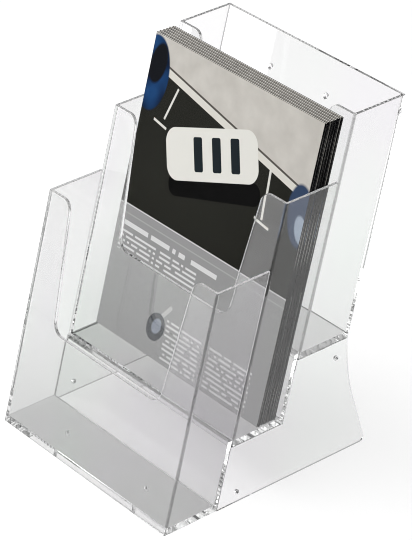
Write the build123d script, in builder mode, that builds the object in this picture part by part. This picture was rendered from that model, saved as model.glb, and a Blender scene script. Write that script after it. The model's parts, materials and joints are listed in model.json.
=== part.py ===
from build123d import *
import os
from math import cos, radians, sin, tan

os.makedirs("parts", exist_ok=True)

# Clear three-tier counter rack for letter-size brochures, in millimetres.
# The origin is on the table, midway along the overall width and the overall depth.
# +X points to the right of a person who faces the rack, +Y to its back, +Z up.

# Driving dimensions
width = 226.0
lean = 15.0
tier_pitch = 57.5
tier_rise = 57.5
tray_height = 215.0
wall = 3.0
floor_thickness = 6.0
tray_gap = 0.4

# Trays
tray_corner = 1.5
tray_foot_corner = 1.0
tray_inner_corner = 1.0
rim_edge = 0.6
cutout_height = 101.0
cutout_half_top = 83.5
cutout_half_floor = 72.0
cutout_floor_radius = 12.0
flange_tip_radius = 10.0
floor_hole_spread = 110.0
floor_hole_radius = 2.25
screw_hole_spread = 72.0
screw_hole_shift = -9.5
screw_hole_height = 297.0
screw_hole_radius = 2.5

# Cheeks
cheek_reach = 226.0
cheek_flare = 16.0
cheek_flare_height = 44.0
cheek_waist = 3.5
cheek_foot_radius = 4.0
cheek_hole_radius = 2.25
cheek_hole_low = (79.5, 10.0)
cheek_hole_high = (190.0, 99.4)

# Brochures
brochure_count = 6
brochure_width = 218.0
brochure_height = 275.0
brochure_thickness = 3.2
brochure_gap = 0.15
brochure_back_room = 5.6
brochure_floor_room = 0.3
spine_radius = 1.2

# Worked out from the above
run = tan(radians(lean))
rise_share = cos(radians(lean))
up_lean = (0.0, sin(radians(lean)), rise_share)
tray_depth = tier_pitch - tray_gap
overall_height = 2 * tier_rise + tray_height
overall_depth = 2 * tier_pitch + tray_depth + run * overall_height
front = -overall_depth / 2


def leaning(depth_in, height):
    """The Y of a point at this height, on a line that leans back and that starts at table level,
    depth_in behind the rack's front edge."""
    return front + depth_in + run * height


def finish_piece(piece, name):
    """Names a finished piece and writes it."""
    piece.part.label = name
    export_step(piece.part, f"parts/{name}.step")


# Trays: each is one moulding, open at the top. Its floor and rim are level, and its walls lean back.
# A tray with an open back has a low back wall. The front wall of the next tray closes it above that.
def make_tray(tier, open_back):
    base = tier * tier_rise
    slant_height = tray_height / rise_share
    middle = leaning(tier * tier_pitch + tray_depth / 2, base)
    with BuildPart() as tray:
        with BuildSketch(Plane.XY.offset(base)):
            with Locations((0, middle)):
                RectangleRounded(width, tray_depth, tray_corner)
        extrude(amount=slant_height, dir=up_lean)
        fillet(tray.faces().sort_by(Axis.Z)[0].edges(), tray_foot_corner)
        with BuildSketch(Plane.XY.offset(base + floor_thickness)):
            with Locations((0, middle + run * floor_thickness)):
                RectangleRounded(width - 2 * wall, tray_depth - 2 * wall, tray_inner_corner)
        extrude(amount=slant_height, dir=up_lean, mode=Mode.SUBTRACT)

        # The cut-out in the front wall is for the hand. It narrows downwards.
        ahead_of_wall = leaning(tier * tier_pitch, base) - wall
        with BuildSketch(Plane.XZ.offset(-ahead_of_wall)) as cutout:
            with BuildLine():
                Polyline(
                    (-cutout_half_top, base + tray_height),
                    (-cutout_half_floor, base + cutout_height),
                    (cutout_half_floor, base + cutout_height),
                    (cutout_half_top, base + tray_height),
                    close=True,
                )
            make_face()
            fillet(cutout.vertices().group_by(Axis.Y)[0], cutout_floor_radius)
        extrude(amount=-(run * tray_height + 3 * wall), mode=Mode.SUBTRACT)
        rim_ends = tray.edges().filter_by(Axis.Y).group_by(Axis.Z)[-1].sort_by(Axis.X)
        fillet(rim_ends[2:4], flange_tip_radius)
        if open_back:
            low_wall = tier_rise + floor_thickness
            back_half = middle + run * low_wall + tray_depth / 2
            with BuildSketch(Plane.XY.offset(base + low_wall)):
                with Locations((0, back_half)):
                    Rectangle(width - 2 * wall, tray_depth)
            extrude(amount=slant_height, dir=up_lean, mode=Mode.SUBTRACT)
        fillet(tray.faces().group_by(Axis.Z)[-1].edges(), rim_edge)
    return tray.part


# The front tray's floor has two holes, through which the rack can be screwed down to a counter.
front_moulding = make_tray(0, open_back=True)
with BuildPart() as front_tray:
    add(front_moulding)
    with Locations((0, leaning(tray_depth / 2, 0), floor_thickness)):
        with GridLocations(floor_hole_spread, 0, 2, 1):
            Hole(floor_hole_radius, depth=floor_thickness)
finish_piece(front_tray, "front_tray")

# The middle tray is plain. It holds the brochures.
middle_moulding = make_tray(1, open_back=True)
with BuildPart() as middle_tray:
    add(middle_moulding)
finish_piece(middle_tray, "middle_tray")

# The rear tray's back wall has two level holes, through which the rack can be screwed to a wall.
# They are a little left of the middle.
rear_moulding = make_tray(2, open_back=False)
with BuildPart() as rear_tray:
    add(rear_moulding)
    back_wall_inside = leaning(2 * tier_pitch + tray_depth - wall, screw_hole_height)
    with BuildSketch(Plane.XZ.offset(wall - back_wall_inside)):
        with Locations((screw_hole_shift, screw_hole_height)):
            with GridLocations(screw_hole_spread, 0, 2, 1):
                Circle(screw_hole_radius)
    extrude(amount=-3 * wall, mode=Mode.SUBTRACT)
finish_piece(rear_tray, "rear_tray")


# Cheeks: stepped side plates. Their front edge is welded to the front tray's back wall, and the
# middle and the rear tray are welded onto their two treads. They flare out at the back to a foot.
def make_cheek(side):
    waist_top = Vector(leaning(2 * tier_pitch + tray_depth, 2 * tier_rise), 2 * tier_rise)
    foot_tip = Vector(front + cheek_reach, 0)
    waist_end = foot_tip + Vector(-tan(radians(cheek_flare)), 1) * cheek_flare_height
    waist_middle = (waist_top + waist_end) / 2 - Vector(cheek_waist, 0)
    outer_face = side * width / 2
    with BuildPart() as cheek:
        with BuildSketch(Plane.YZ.offset(outer_face)) as profile:
            with BuildLine():
                Polyline(
                    foot_tip,
                    (leaning(tray_depth, 0), 0),
                    (leaning(tray_depth, tier_rise), tier_rise),
                    (leaning(tier_pitch + tray_depth, tier_rise), tier_rise),
                    (leaning(tier_pitch + tray_depth, 2 * tier_rise), 2 * tier_rise),
                    waist_top,
                )
                ThreePointArc(waist_top, waist_middle, waist_end)
                Line(waist_end, foot_tip)
            make_face()
            fillet(profile.vertices().sort_by(Axis.X)[-1], cheek_foot_radius)
            with Locations(*[(front + y, z) for y, z in (cheek_hole_low, cheek_hole_high)]):
                Circle(cheek_hole_radius, mode=Mode.SUBTRACT)
        extrude(amount=-side * wall)
    return cheek


for side, side_name in ((-1, "left"), (1, "right")):
    finish_piece(make_cheek(side), f"{side_name}_cheek")

# Brochures: stapled sheets with a folded spine at the left. Each stands in the middle tray on its
# lower back edge and leans back with the tray, so the first is the one in front.
for number in range(1, brochure_count + 1):
    brochures_behind = brochure_count - number
    back_room = brochure_back_room + brochures_behind * (brochure_thickness + brochure_gap) / rise_share
    foot_height = tier_rise + floor_thickness + brochure_floor_room
    foot = leaning(tier_pitch + tray_depth - wall - back_room, foot_height)
    with BuildPart() as brochure:
        with BuildSketch(Plane(origin=(0, foot, foot_height), x_dir=(1, 0, 0), z_dir=up_lean)):
            Rectangle(brochure_width, brochure_thickness, align=(Align.CENTER, Align.MAX))
        extrude(amount=brochure_height)
        spine_edges = brochure.edges().filter_by(Axis((0, 0, 0), up_lean)).sort_by(Axis.X)[:2]
        fillet(spine_edges, spine_radius)
    finish_piece(brochure, f"brochure_{number}")
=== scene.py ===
import json
from math import atan2, cos, radians, sin

import bmesh
import bpy
from mathutils import Matrix, Vector


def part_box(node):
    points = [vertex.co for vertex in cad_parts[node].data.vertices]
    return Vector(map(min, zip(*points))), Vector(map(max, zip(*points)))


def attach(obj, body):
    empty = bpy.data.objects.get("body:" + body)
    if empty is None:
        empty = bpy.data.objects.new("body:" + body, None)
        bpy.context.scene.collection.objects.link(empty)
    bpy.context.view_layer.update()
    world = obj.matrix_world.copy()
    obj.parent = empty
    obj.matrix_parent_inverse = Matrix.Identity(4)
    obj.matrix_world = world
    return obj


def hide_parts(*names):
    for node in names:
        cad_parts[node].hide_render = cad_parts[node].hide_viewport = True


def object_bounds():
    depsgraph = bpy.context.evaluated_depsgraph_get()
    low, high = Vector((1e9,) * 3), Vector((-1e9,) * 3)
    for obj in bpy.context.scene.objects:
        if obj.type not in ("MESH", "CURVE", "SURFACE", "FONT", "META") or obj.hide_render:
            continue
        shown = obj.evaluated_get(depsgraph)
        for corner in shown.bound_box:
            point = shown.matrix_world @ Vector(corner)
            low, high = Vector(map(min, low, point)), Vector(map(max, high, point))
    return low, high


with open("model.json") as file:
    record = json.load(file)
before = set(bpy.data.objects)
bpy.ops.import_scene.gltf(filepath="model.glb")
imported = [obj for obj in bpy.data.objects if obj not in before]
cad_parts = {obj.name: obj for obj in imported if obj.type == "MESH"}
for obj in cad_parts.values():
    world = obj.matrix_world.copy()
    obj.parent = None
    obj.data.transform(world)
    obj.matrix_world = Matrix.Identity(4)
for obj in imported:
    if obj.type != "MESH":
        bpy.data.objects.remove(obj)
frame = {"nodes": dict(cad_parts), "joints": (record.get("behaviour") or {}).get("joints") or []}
cad_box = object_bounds()


# ---------------------------------------------------------------- trays
# Three deep trays of clear, colourless plastic, each moulded in one piece with polished walls. The
# walls carry faint waves, and a weak green and lilac tint where the plastic is under stress.

plastic_ior = 1.5
pane_clarity = 0.99
# Painted shade: the base colour is darkened on rounded edges, standing in for the dark look the real
# plastic's edges get from what they reflect.
painted_edge_darkness = 0.5
edge_squareness, wall_squareness = 0.93, 0.995
# Painted shade darkens each part towards its foot, where the shade under the rack falls, and fades out
# over this share of its height.
painted_shade_share = 0.6
wave_height = 0.00002
green_stress = (-0.012, 0.006, -0.008)
lilac_stress = (-0.002, -0.012, 0.006)


def new_material(name):
    """An empty node material with its output and one Principled shader, wired together."""
    material = bpy.data.materials.new(name)
    material.use_nodes = True
    tree = material.node_tree
    tree.nodes.clear()
    output = tree.nodes.new("ShaderNodeOutputMaterial")
    shader = tree.nodes.new("ShaderNodeBsdfPrincipled")
    tree.links.new(shader.outputs["BSDF"], output.inputs["Surface"])
    return material, tree, shader


def add_noise(tree, vector, scale, detail=2.0, stretch=(1.0, 1.0, 1.0)):
    """A noise texture on a vector output, stretched along the axes. Returns its value output."""
    mapping = tree.nodes.new("ShaderNodeMapping")
    mapping.inputs["Scale"].default_value = stretch
    noise = tree.nodes.new("ShaderNodeTexNoise")
    noise.inputs["Scale"].default_value = scale
    noise.inputs["Detail"].default_value = detail
    tree.links.new(vector, mapping.inputs["Vector"])
    tree.links.new(mapping.outputs["Vector"], noise.inputs["Vector"])
    return noise.outputs["Fac"]


def add_ramp(tree, value, stops):
    """A colour ramp over a value output, from (position, colour) stops. Returns its colour output."""
    ramp = tree.nodes.new("ShaderNodeValToRGB")
    elements = ramp.color_ramp.elements
    elements[0].position = stops[0][0]
    elements[1].position = stops[-1][0]
    for position, _ in stops[1:-1]:
        elements.new(position)
    for element, (_, colour) in zip(elements, stops):
        element.color = (*colour, 1.0)
    tree.links.new(value, ramp.inputs["Fac"])
    return ramp.outputs["Color"]


def add_range(tree, value, old_low, old_high, new_low, new_high):
    """Maps a value output from one range to another, clamped. Returns the new value's output."""
    mapped = tree.nodes.new("ShaderNodeMapRange")
    for socket, number in zip(("From Min", "From Max", "To Min", "To Max"),
                              (old_low, old_high, new_low, new_high)):
        mapped.inputs[socket].default_value = number
    tree.links.new(value, mapped.inputs["Value"])
    return mapped.outputs["Result"]


def calculate(tree, operation, first, second=0.0):
    """One Math node over two values, each an output or a number. Returns its output."""
    node = tree.nodes.new("ShaderNodeMath")
    node.operation = operation
    for socket, value in zip(node.inputs, (first, second)):
        if isinstance(value, float):
            socket.default_value = value
        else:
            tree.links.new(value, socket)
    return node.outputs["Value"]


def add_bump(tree, shader, height, distance):
    """Roughens the shader's surface by a height output. The distance is in metres."""
    bump = tree.nodes.new("ShaderNodeBump")
    bump.inputs["Distance"].default_value = distance
    tree.links.new(height, bump.inputs["Height"])
    tree.links.new(bump.outputs["Normal"], shader.inputs["Normal"])


def add_squareness(tree, normal, tilt):
    """The largest side of a surface's normal, measured along the axes of a part that leans back by the
    tilt: 1 on its flat walls, and less on its rounded edges. Returns the value's output."""
    turned = tree.nodes.new("ShaderNodeMapping")
    turned.vector_type = "VECTOR"
    turned.inputs["Rotation"].default_value = (tilt, 0.0, 0.0)
    tree.links.new(normal, turned.inputs["Vector"])
    size = tree.nodes.new("ShaderNodeVectorMath")
    size.operation = "ABSOLUTE"
    tree.links.new(turned.outputs["Vector"], size.inputs[0])
    sides = tree.nodes.new("ShaderNodeSeparateXYZ")
    tree.links.new(size.outputs["Vector"], sides.inputs["Vector"])
    level_side = calculate(tree, "MAXIMUM", sides.outputs["X"], sides.outputs["Y"])
    return calculate(tree, "MAXIMUM", level_side, sides.outputs["Z"])


def let_light_through(tree, shader):
    """Turns the surface into a plain pane for shadow rays and diffuse rays, so that what stands behind
    the plastic is fully lit and the plastic's own shadow stays light."""
    pane = tree.nodes.new("ShaderNodeBsdfTransparent")
    pane.inputs["Color"].default_value = (pane_clarity, pane_clarity, pane_clarity, 1.0)
    path = tree.nodes.new("ShaderNodeLightPath")
    passing = calculate(tree, "MAXIMUM", path.outputs["Is Shadow Ray"], path.outputs["Is Diffuse Ray"])
    choice = tree.nodes.new("ShaderNodeMixShader")
    tree.links.new(passing, choice.inputs["Fac"])
    tree.links.new(shader.outputs["BSDF"], choice.inputs[1])
    tree.links.new(pane.outputs["BSDF"], choice.inputs[2])
    tree.links.new(choice.outputs["Shader"], tree.nodes["Material Output"].inputs["Surface"])


def clear_plastic(node, clarity_and_shade, painted_foot_shade, tilt, tint_scale):
    """Polished clear plastic for a CAD node. Clarity is the share of light that a surface lets through;
    set low, it also stands as painted shade. The base colour is darkened further as painted shade: by the
    foot value at the node's foot, and by the edge darkness on rounded edges."""
    material, tree, shader = new_material(f"clear_{node}")
    shader.inputs["Transmission Weight"].default_value = 1.0
    shader.inputs["IOR"].default_value = plastic_ior
    shader.inputs["Roughness"].default_value = 0.0
    coordinates = tree.nodes.new("ShaderNodeTexCoord")
    place = coordinates.outputs["Object"]

    stress = add_noise(tree, place, tint_scale, stretch=(1.0, 1.0, 0.5))
    green = tuple(clarity_and_shade + shift for shift in green_stress)
    lilac = tuple(clarity_and_shade + shift for shift in lilac_stress)
    tint = add_ramp(tree, stress, [(0.35, green), (0.5, (clarity_and_shade, clarity_and_shade, clarity_and_shade)), (0.65, lilac)])

    # Painted shade on the rounded edges, by how square the surface faces.
    squareness = add_squareness(tree, coordinates.outputs["Normal"], tilt)
    edge_painted_shade = add_range(tree, squareness, edge_squareness, wall_squareness, painted_edge_darkness, 1.0)
    # Painted shade: darker towards the node's foot.
    foot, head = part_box(node)
    shade_free_height = foot.z + painted_shade_share * (head.z - foot.z)
    height = tree.nodes.new("ShaderNodeSeparateXYZ")
    tree.links.new(place, height.inputs["Vector"])
    painted_height_shade = add_range(tree, height.outputs["Z"], foot.z, shade_free_height, painted_foot_shade, 1.0)
    shaded = tree.nodes.new("ShaderNodeVectorMath")
    shaded.operation = "SCALE"
    tree.links.new(tint, shaded.inputs[0])
    tree.links.new(calculate(tree, "MULTIPLY", edge_painted_shade, painted_height_shade), shaded.inputs["Scale"])
    tree.links.new(shaded.outputs["Vector"], shader.inputs["Base Color"])

    waves = add_noise(tree, place, scale=14.0, detail=1.0, stretch=(1.0, 1.0, 0.35))
    add_bump(tree, shader, waves, wave_height)
    let_light_through(tree, shader)
    return material


def finish_node(node, material):
    """Gives a CAD node its material."""
    slots = frame["nodes"][node].data.materials
    slots.clear()
    slots.append(material)


# The brochures slide along the walls of their tray, so their joint's axis gives the trays' lean.
lean_axis = Vector(frame["joints"][0]["axis"])
lean = atan2(lean_axis.y, lean_axis.z)

# Clarity here is partly the plastic's own loss of light and partly painted shade: the front tray is set
# darkest for the shade under and behind it. The foot values add painted shade at each tray's foot.
for tray, clarity_and_shade, painted_foot_shade in (("front_tray", 0.83, 0.9),
                                  ("middle_tray", 0.89, 0.92),
                                  ("rear_tray", 0.965, 0.96)):
    finish_node(tray, clear_plastic(tray, clarity_and_shade, painted_foot_shade, tilt=lean, tint_scale=9.0))


# ---------------------------------------------------------------- cheeks
# Two stepped, upright side plates of the same clear plastic. They are bonded to the back of the front
# tray, and the other two trays stand on their treads.

for cheek in ("left_cheek", "right_cheek"):
    # Their clarity is set low partly as painted shade.
    finish_node(cheek, clear_plastic(cheek, clarity_and_shade=0.88, painted_foot_shade=1.0, tilt=0.0, tint_scale=6.0))


# ---------------------------------------------------------------- brochures
# Six brochures that stand loose in the middle tray. Each is a folded cover of printed card round a
# block of thinner pages, whose trimmed edges show at the top, the right and the bottom.

mm = 0.001
brochure_count = 6
# The card is thick so that its near-black cut edges also stand as painted shade between the brochures.
card = 0.00085
spine_bend = 0.0012
spine_segments = 5
fore_edge_inset = 0.00008
page_corner = 0.0001
slip_sideways = 0.00025
slip_step_up = 0.00006
slip_turn = 2.3


def brochure_size(node):
    """Width, thickness, height and lower back edge of a leaning plate, from its upright box."""
    low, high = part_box(node)
    size = high - low
    spread = cos(lean) ** 2 - sin(lean) ** 2
    height = (size.z * cos(lean) - size.y * sin(lean)) / spread
    thickness = (size.y * cos(lean) - size.z * sin(lean)) / spread
    foot = Vector(((low.x + high.x) / 2, low.y + thickness * cos(lean), low.z))
    return size.x, thickness, height, foot


def sheet_uv(tree):
    """The output of the UV map that gives a place on the printed sheet, in millimetres."""
    node = tree.nodes.new("ShaderNodeUVMap")
    node.uv_map = "sheet"
    return node.outputs["UV"]


def box_mask(tree, uv, centre, size, turn=0.0, corner=0.5):
    """1 inside a turned rectangle with rounded corners, 0 outside it, in the units of the UV map."""
    mapping = tree.nodes.new("ShaderNodeMapping")
    mapping.vector_type = "TEXTURE"
    mapping.inputs["Location"].default_value = (*centre, 0.0)
    mapping.inputs["Rotation"].default_value = (0.0, 0.0, radians(turn))
    tree.links.new(uv, mapping.inputs["Vector"])
    last = mapping.outputs["Vector"]
    no_third_side = 10.0
    inner = (size[0] / 2 - corner, size[1] / 2 - corner, no_third_side)
    for operation, other in (("ABSOLUTE", None), ("SUBTRACT", inner), ("MAXIMUM", (0.0, 0.0, 0.0))):
        step = tree.nodes.new("ShaderNodeVectorMath")
        step.operation = operation
        tree.links.new(last, step.inputs[0])
        if other:
            step.inputs[1].default_value = other
        last = step.outputs["Vector"]
    length = tree.nodes.new("ShaderNodeVectorMath")
    length.operation = "LENGTH"
    tree.links.new(last, length.inputs[0])
    soft = 0.15
    return add_range(tree, length.outputs["Value"], corner - soft, corner + soft, 1.0, 0.0)


def disc_mask(tree, place, centre, radii, turn=0.0, soft=0.02):
    """1 inside a turned ellipse, 0 outside it. Soft is the width of the edge as a share of the radii."""
    mapping = tree.nodes.new("ShaderNodeMapping")
    mapping.vector_type = "TEXTURE"
    mapping.inputs["Location"].default_value = (*centre, 0.0)
    mapping.inputs["Rotation"].default_value = (0.0, 0.0, radians(turn))
    mapping.inputs["Scale"].default_value = (*radii, 1.0)
    tree.links.new(place, mapping.inputs["Vector"])
    length = tree.nodes.new("ShaderNodeVectorMath")
    length.operation = "LENGTH"
    tree.links.new(mapping.outputs["Vector"], length.inputs[0])
    return add_range(tree, length.outputs["Value"], 1.0 - soft, 1.0 + soft, 1.0, 0.0)


def paint(tree, under, mask, colour):
    """Lays a colour, or another colour output, over what is under it, where the mask is 1."""
    mix = tree.nodes.new("ShaderNodeMix")
    mix.data_type = "RGBA"
    factor, first_colour, second_colour = (mix.inputs[number] for number in (0, 6, 7))
    tree.links.new(mask, factor)
    tree.links.new(under, first_colour)
    if isinstance(colour, tuple):
        second_colour.default_value = (*colour, 1.0)
    else:
        tree.links.new(colour, second_colour)
    return mix.outputs[2]


def bar_rows(tree, uv, centre, size, pitch, weight, word):
    """A mask of rows of plain bars inside a rectangle, in place of printed copy. A bar is as high as the
    weight's share of the pitch, and here and there one that is a word long is left out at random."""
    gap_share = 0.16
    parts = tree.nodes.new("ShaderNodeSeparateXYZ")
    tree.links.new(uv, parts.inputs["Vector"])
    row = calculate(tree, "DIVIDE", parts.outputs["Y"], pitch)
    stripe = calculate(tree, "LESS_THAN", calculate(tree, "FRACT", row), weight)
    place = tree.nodes.new("ShaderNodeCombineXYZ")
    column = calculate(tree, "DIVIDE", parts.outputs["X"], word)
    tree.links.new(calculate(tree, "FLOOR", column), place.inputs["X"])
    tree.links.new(calculate(tree, "FLOOR", row), place.inputs["Y"])
    chance = tree.nodes.new("ShaderNodeTexWhiteNoise")
    chance.noise_dimensions = "2D"
    tree.links.new(place.outputs["Vector"], chance.inputs["Vector"])
    words = calculate(tree, "GREATER_THAN", chance.outputs["Value"], gap_share)
    region = box_mask(tree, uv, centre, size)
    return calculate(tree, "MULTIPLY", calculate(tree, "MULTIPLY", stripe, words), region)


def print_picture(tree, uv):
    """The abstract picture. Its places and sizes are in millimetres from the sheet's lower left corner."""
    def lay_box(under, colour, centre, size, turn=0.0, corner=0.5):
        return paint(tree, under, box_mask(tree, uv, centre, size, turn, corner), colour)

    def lay_disc(under, colour, centre, radii, turn=0.0, soft=0.02):
        return paint(tree, under, disc_mask(tree, uv, centre, radii, turn, soft), colour)

    # dark ground with a fine grain, and a wide, slightly lighter patch
    grain = add_noise(tree, uv, 1.6, 3.0)
    picture = add_ramp(tree, grain, [(0.3, (0.004, 0.004, 0.003)), (0.7, (0.022, 0.022, 0.017))])
    patch = disc_mask(tree, uv, (70.0, 170.0), (120.0, 75.0), 20.0, 0.6)
    patch_grain = add_noise(tree, uv, 0.9, 4.0)
    patch_ink = add_ramp(tree, patch_grain, [(0.3, (0.010, 0.0105, 0.008)), (0.7, (0.034, 0.034, 0.028))])
    picture = paint(tree, picture, calculate(tree, "MULTIPLY", patch, 0.7), patch_ink)

    # sand-coloured band across the top, over a dark line and a paler strip
    slope = -11.6
    sand_grain = add_noise(tree, uv, 0.05, 5.0)
    sand = add_ramp(tree, sand_grain, [(0.3, (0.53, 0.505, 0.465)), (0.7, (0.62, 0.595, 0.55))])
    picture = lay_box(picture, (0.70, 0.68, 0.62), (115.0, 266.0), (300.0, 80.0), slope)
    picture = lay_box(picture, (0.10, 0.09, 0.08), (115.0, 284.0), (300.0, 102.0), slope)
    picture = lay_box(picture, sand, (115.0, 286.0), (300.0, 102.0), slope)

    # blue discs cut by the sheet's edges, each with a smaller one on it
    blue_grain = add_noise(tree, uv, 0.035, 1.0)
    blue = add_ramp(tree, blue_grain, [(0.35, (0.001, 0.004, 0.018)), (0.7, (0.010, 0.055, 0.17))])
    picture = lay_disc(picture, blue, (6.0, 240.0), (21.0, 34.0), soft=0.03)
    picture = lay_disc(picture, (0.004, 0.005, 0.008), (11.0, 250.0), (10.0, 19.0), -10.0, 0.08)
    picture = lay_disc(picture, (0.035, 0.06, 0.12), (213.0, 191.0), (15.0, 27.0), 8.0, 0.05)
    picture = lay_disc(picture, (0.35, 0.42, 0.52), (216.0, 180.0), (7.0, 12.0), 20.0, 0.1)

    # a white lozenge with three dark bars, over its own shadow
    picture = lay_box(picture, (0.002, 0.002, 0.002), (109.0, 172.0), (116.0, 20.0), 17.0, 9.0)
    picture = lay_box(picture, (0.78, 0.77, 0.72), (98.0, 199.0), (116.0, 46.0), 20.0, 13.0)
    for centre in ((82.0, 193.2), (104.0, 201.2), (126.0, 209.2)):
        picture = lay_box(picture, (0.012, 0.018, 0.022), centre, (11.0, 30.0), 20.0, 2.0)

    # thin white ticks
    for centre, size, turn in (((171.5, 193.0), (2.6, 44.0), 4.0),
                               ((173.0, 168.0), (21.0, 2.4), -8.0),
                               ((28.0, 200.5), (18.0, 2.4), -10.0),
                               ((37.0, 222.0), (2.2, 33.0), -18.0)):
        picture = lay_box(picture, (0.72, 0.71, 0.66), centre, size, turn)
    return picture


def print_panel(tree, uv, picture):
    """The grey panel over the picture's foot, with a small sign and rows of bars on it."""
    sheet_middle, across_sheet = 109.0, 240.0
    panel_top = 118.0
    bleed = 4.0
    panel_grey, bar_grey = (0.31, 0.31, 0.31), (0.70, 0.70, 0.70)
    panel = box_mask(tree, uv, (sheet_middle, (panel_top - bleed) / 2), (across_sheet, panel_top + bleed))
    picture = paint(tree, picture, panel, panel_grey)
    for height, shade in ((panel_top, 0.62), (panel_top - 8.0, 0.40)):
        line = box_mask(tree, uv, (sheet_middle, height), (across_sheet, 1.2))
        picture = paint(tree, picture, line, (shade, shade, shade))
    for centre, size, pitch, weight, word in (((72.0, 101.5), (126.0, 5.0), 5.5, 0.8, 4.2),
                                              ((59.0, 86.0), (103.0, 20.0), 4.4, 0.45, 2.9),
                                              ((113.0, 22.0), (48.0, 40.0), 4.4, 0.45, 2.7),
                                              ((172.0, 22.0), (54.0, 40.0), 4.4, 0.45, 3.1)):
        bars = bar_rows(tree, uv, centre, size, pitch, weight, word)
        picture = paint(tree, picture, bars, bar_grey)
    pin = box_mask(tree, uv, (86.0, 47.0), (4.0, 18.0), -38.0, 1.8)
    picture = paint(tree, picture, pin, (0.55, 0.55, 0.54))
    disc = disc_mask(tree, uv, (76.0, 29.0), (11.0, 14.0), -25.0)
    picture = paint(tree, picture, disc, (0.035, 0.04, 0.05))
    disc_middle = disc_mask(tree, uv, (77.0, 30.0), (5.5, 8.0), -25.0, 0.1)
    return paint(tree, picture, disc_middle, (0.25, 0.28, 0.34))


def cover_print():
    """The printed front of the cover, a little uneven and almost without gloss."""
    material, tree, shader = new_material("cover_print")
    shader.inputs["Roughness"].default_value = 0.45
    shader.inputs["Specular IOR Level"].default_value = 0.02
    uv = sheet_uv(tree)
    picture = print_panel(tree, uv, print_picture(tree, uv))
    tree.links.new(picture, shader.inputs["Base Color"])
    add_bump(tree, shader, add_noise(tree, uv, 0.02), 0.0002)
    return material


def plain_card(name, dark, light):
    """Card with one ink all over, a little uneven."""
    material, tree, shader = new_material(name)
    shader.inputs["Roughness"].default_value = 0.45
    shader.inputs["Specular IOR Level"].default_value = 0.0
    place = tree.nodes.new("ShaderNodeTexCoord").outputs["Object"]
    mottle = add_noise(tree, place, 60.0, 4.0)
    tree.links.new(add_ramp(tree, mottle, [(0.3, dark), (0.7, light)]), shader.inputs["Base Color"])
    add_bump(tree, shader, add_noise(tree, place, 900.0), 0.00003)
    return material


def page_edges(name, fineness, start, end, dark, light):
    """Trimmed page edges: lines along the edge, from dark below the start value to light above the end."""
    material, tree, shader = new_material(name)
    shader.inputs["Roughness"].default_value = 0.8
    shader.inputs["Specular IOR Level"].default_value = 0.0
    lines = add_noise(tree, sheet_uv(tree), fineness, stretch=(1.0, 0.008, 1.0))
    tree.links.new(add_ramp(tree, lines, [(start, dark), (end, light)]), shader.inputs["Base Color"])
    add_bump(tree, shader, lines, 0.00015)
    return material


print_front = cover_print()
card_back = plain_card("cover_back", (0.20, 0.20, 0.20), (0.26, 0.26, 0.26))
# Near-black cut edges of the cover: painted shade for the gaps between the stacked brochures.
card_edge_and_gap_shade = plain_card("cover_edge_painted_shade", (0.002, 0.002, 0.002), (0.008, 0.008, 0.008))
edges_top = page_edges("page_edges_top", 6.0, 0.35, 0.62, (0.80, 0.77, 0.72), (0.92, 0.89, 0.84))
# The side edges are the same paper as the top edges, painted near-black as shade, with light lines.
side_edges_in_painted_shade = page_edges("page_side_edges_painted_shade", 1.3, 0.6, 0.66, (0.003, 0.003, 0.004), (0.45, 0.44, 0.42))


def give_uv(bm):
    """Gives an upright part at the origin its UV map, in millimetres. An upright face has the distance
    across it and the distance up it, and a level face has the distances along Y and X."""
    uv = bm.loops.layers.uv.new("sheet")
    for face in bm.faces:
        faces_along_y = abs(face.normal.x) < 0.5 and abs(face.normal.y) > 0.5
        for loop in face.loops:
            place = loop.vert.co
            if abs(face.normal.z) > 0.5:
                loop[uv].uv = (place.y / mm, place.x / mm)
            elif faces_along_y:
                loop[uv].uv = (place.x / mm, place.z / mm)
            else:
                loop[uv].uv = (place.y / mm, place.z / mm)


def add_piece(name, bm, materials, placing, body):
    """Turns a bmesh into an object in its place, with its materials, that rides on a body."""
    bm.transform(placing)
    mesh = bpy.data.meshes.new(name)
    bm.to_mesh(mesh)
    bm.free()
    piece = bpy.data.objects.new(name, mesh)
    bpy.context.scene.collection.objects.link(piece)
    for material in materials:
        mesh.materials.append(material)
    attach(piece, body)
    return piece


def upright_block(size, middle):
    """A box of the given size about the given middle."""
    bm = bmesh.new()
    bmesh.ops.create_cube(bm, size=1.0)
    bmesh.ops.scale(bm, vec=size, verts=bm.verts)
    bmesh.ops.translate(bm, vec=middle, verts=bm.verts)
    return bm


def is_trimmed_edge(face):
    """True for the long, narrow faces where the cover's sheet was cut."""
    lengths = [edge.calc_length() for edge in face.edges]
    return max(lengths) > 100 * mm and min(lengths) < 1.1 * card and face.normal.x > -0.3


def folded_cover(width, thickness, height):
    """A sheet of card folded round the pages: front leaf, rounded spine and back leaf. Its material slots
    are the printed front, the plain card and the trimmed edges, which are near-black as painted shade for
    the gaps between the brochures."""
    bm = upright_block((width, thickness, height), (0.0, -thickness / 2, height / 2))
    open_sides = [face for face in bm.faces if face.normal.x > 0.5 or abs(face.normal.z) > 0.5]
    bmesh.ops.delete(bm, geom=open_sides, context="FACES_ONLY")
    spine = [edge for edge in bm.edges
             if all(vert.co.x < 0 for vert in edge.verts)
             and abs(edge.verts[0].co.z - edge.verts[1].co.z) > mm]
    bmesh.ops.bevel(bm, geom=spine, offset=spine_bend, segments=spine_segments, profile=0.5,
                    affect="EDGES", material=-1)
    bmesh.ops.solidify(bm, geom=bm.faces[:], thickness=card)
    bmesh.ops.recalc_face_normals(bm, faces=bm.faces)
    bm.normal_update()

    give_uv(bm)
    uv = bm.loops.layers.uv.active
    for face in bm.faces:
        if face.normal.y < -0.9 and face.calc_center_median().y < -thickness + card / 2:
            face.material_index = 0
            for loop in face.loops:
                loop[uv].uv = ((loop.vert.co.x + width / 2) / mm, loop.vert.co.z / mm)
        elif is_trimmed_edge(face):
            face.material_index = 2
        else:
            face.material_index = 1
    return bm


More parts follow.
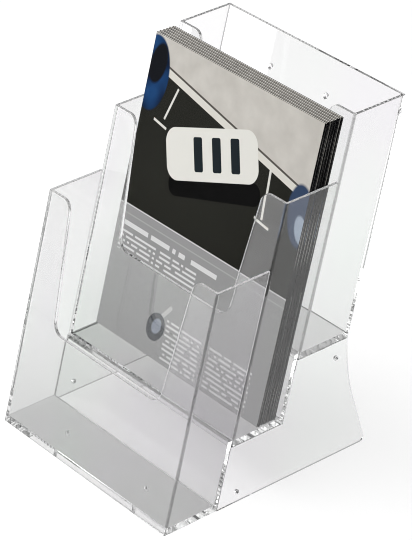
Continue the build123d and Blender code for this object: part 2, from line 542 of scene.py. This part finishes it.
def page_block(width, thickness, height):
    """The pages inside the cover as one block. Its material slots are the edges at the top and bottom, and
    the edges at the side, which are painted near-black as shade."""
    size = (width - card - fore_edge_inset, thickness - 2 * card, height - 2 * fore_edge_inset)
    bm = upright_block(size, ((card - fore_edge_inset) / 2, -thickness / 2, height / 2))
    bmesh.ops.bevel(bm, geom=bm.edges[:], offset=page_corner, segments=1, profile=0.5,
                    affect="EDGES", material=-1)
    bm.normal_update()
    give_uv(bm)
    for face in bm.faces:
        face.material_index = 1 if face.normal.x > 0.9 else 0
    return bm


for number in range(1, brochure_count + 1):
    node = f"brochure_{number}"
    width, thickness, height, foot = brochure_size(node)
    sideways = Vector((slip_sideways * sin(number * slip_turn), 0.0, 0.0))
    up = lean_axis * (slip_step_up * (brochure_count + 1 - number))
    placing = Matrix.Translation(foot + sideways + up) @ Matrix.Rotation(-lean, 4, "X")

    cover = folded_cover(width, thickness, height)
    cover_piece = add_piece(f"{node}_cover", cover, (print_front, card_back, card_edge_and_gap_shade), placing, node)
    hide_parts(node)

    pages = page_block(width, thickness, height)
    pages_piece = add_piece(f"{node}_pages", pages, (edges_top, side_edges_in_painted_shade), placing, node)


# ---------------------------------------------------------------- table
# A plain white table top. It glows a little, as painted light that keeps the shade under the rack light,
# and more so in a wide patch out in front of the rack's left side, which lights the lower walls from the
# front.

rack_low, rack_high = (Vector(corner) for corner in cad_box)
rack_middle = (rack_low + rack_high) / 2
table_gap = 0.0003
table_half_width = 6.0
table_glow, patch_glow = 0.35, 1.0

table_material, table_tree, table_shader = new_material("white_table")
table_shader.inputs["Base Color"].default_value = (0.85, 0.85, 0.85, 1.0)
table_shader.inputs["Roughness"].default_value = 0.9
table_shader.inputs["Specular IOR Level"].default_value = 0.1
table_shader.inputs["Emission Color"].default_value = (1.0, 1.0, 1.0, 1.0)
table_place = table_tree.nodes.new("ShaderNodeTexCoord").outputs["Object"]
bright_patch = disc_mask(table_tree, table_place, (-0.72, -0.84), (0.6, 0.6), soft=0.8)
glow = add_range(table_tree, bright_patch, 0.0, 1.0, table_glow, patch_glow)
table_tree.links.new(glow, table_shader.inputs["Emission Strength"])

table_bm = bmesh.new()
bmesh.ops.create_grid(table_bm, x_segments=1, y_segments=1, size=table_half_width)
table_mesh = bpy.data.meshes.new("floor")
table_bm.to_mesh(table_mesh)
table_bm.free()
table_mesh.materials.append(table_material)
table = bpy.data.objects.new("floor", table_mesh)
table.location.z = rack_low.z - table_gap
bpy.context.scene.collection.objects.link(table)


# ---------------------------------------------------------------- light
# A room that is dark at the horizon and pale overhead, with one large soft light above the rack and
# one in front of it.

horizon = (0.05, 0.05, 0.06)
room_strength = 0.6

room = bpy.data.worlds.new("studio")
room.use_nodes = True
bpy.context.scene.world = room
room_tree = room.node_tree
direction = room_tree.nodes.new("ShaderNodeTexCoord").outputs["Generated"]
split = room_tree.nodes.new("ShaderNodeSeparateXYZ")
room_tree.links.new(direction, split.inputs["Vector"])
room_height = add_range(room_tree, split.outputs["Z"], -0.2, 1.0, 0.0, 1.0)
room_colour = add_ramp(room_tree, room_height, [(0.0, horizon), (0.22, horizon),
                                                (0.45, (0.6, 0.6, 0.6)), (1.0, (1.0, 1.0, 1.0))])
background = room_tree.nodes["Background"]
background.inputs["Strength"].default_value = room_strength
room_tree.links.new(room_colour, background.inputs["Color"])


def soft_light(name, place, size, power):
    """A square area light that faces the rack."""
    data = bpy.data.lights.new(name, "AREA")
    data.size = size
    data.energy = power
    light = bpy.data.objects.new(name, data)
    light.location = place
    light.rotation_euler = (rack_middle - Vector(place)).to_track_quat("-Z", "Y").to_euler()
    bpy.context.scene.collection.objects.link(light)


soft_light("overhead_softbox", (-0.3, 0.0, 2.2), 1.8, 18.0)
soft_light("front_softbox", (-1.75, -1.55, 0.55), 1.5, 24.0)

# Light crosses many clear walls and turns often inside a rim, so a ray is followed for many turns.
scene = bpy.context.scene
scene.view_settings.view_transform = "Standard"
scene.cycles.filter_width = 1.0
scene.cycles.max_bounces = 160
scene.cycles.glossy_bounces = 160
scene.cycles.transmission_bounces = 60
scene.cycles.transparent_max_bounces = 40
scene.cycles.caustics_refractive = False
scene.cycles.caustics_reflective = False


# ---------------------------------------------------------------- camera
# It looks down on the rack from the front right, through a long lens.

azimuth, elevation = radians(50.31), radians(31.06)
target_from_middle = Vector((0.0587, -0.0399, 0.0355))
camera_distance = 2.4135
focal_length = 193.96

back_along_view = Vector((sin(azimuth) * cos(elevation), -cos(azimuth) * cos(elevation), sin(elevation)))
camera_data = bpy.data.cameras.new("camera")
camera_data.lens = focal_length
camera = bpy.data.objects.new("camera", camera_data)
camera.location = rack_middle + target_from_middle + back_along_view * camera_distance
camera.rotation_euler = back_along_view.to_track_quat("Z", "Y").to_euler()
scene.collection.objects.link(camera)
scene.camera = camera
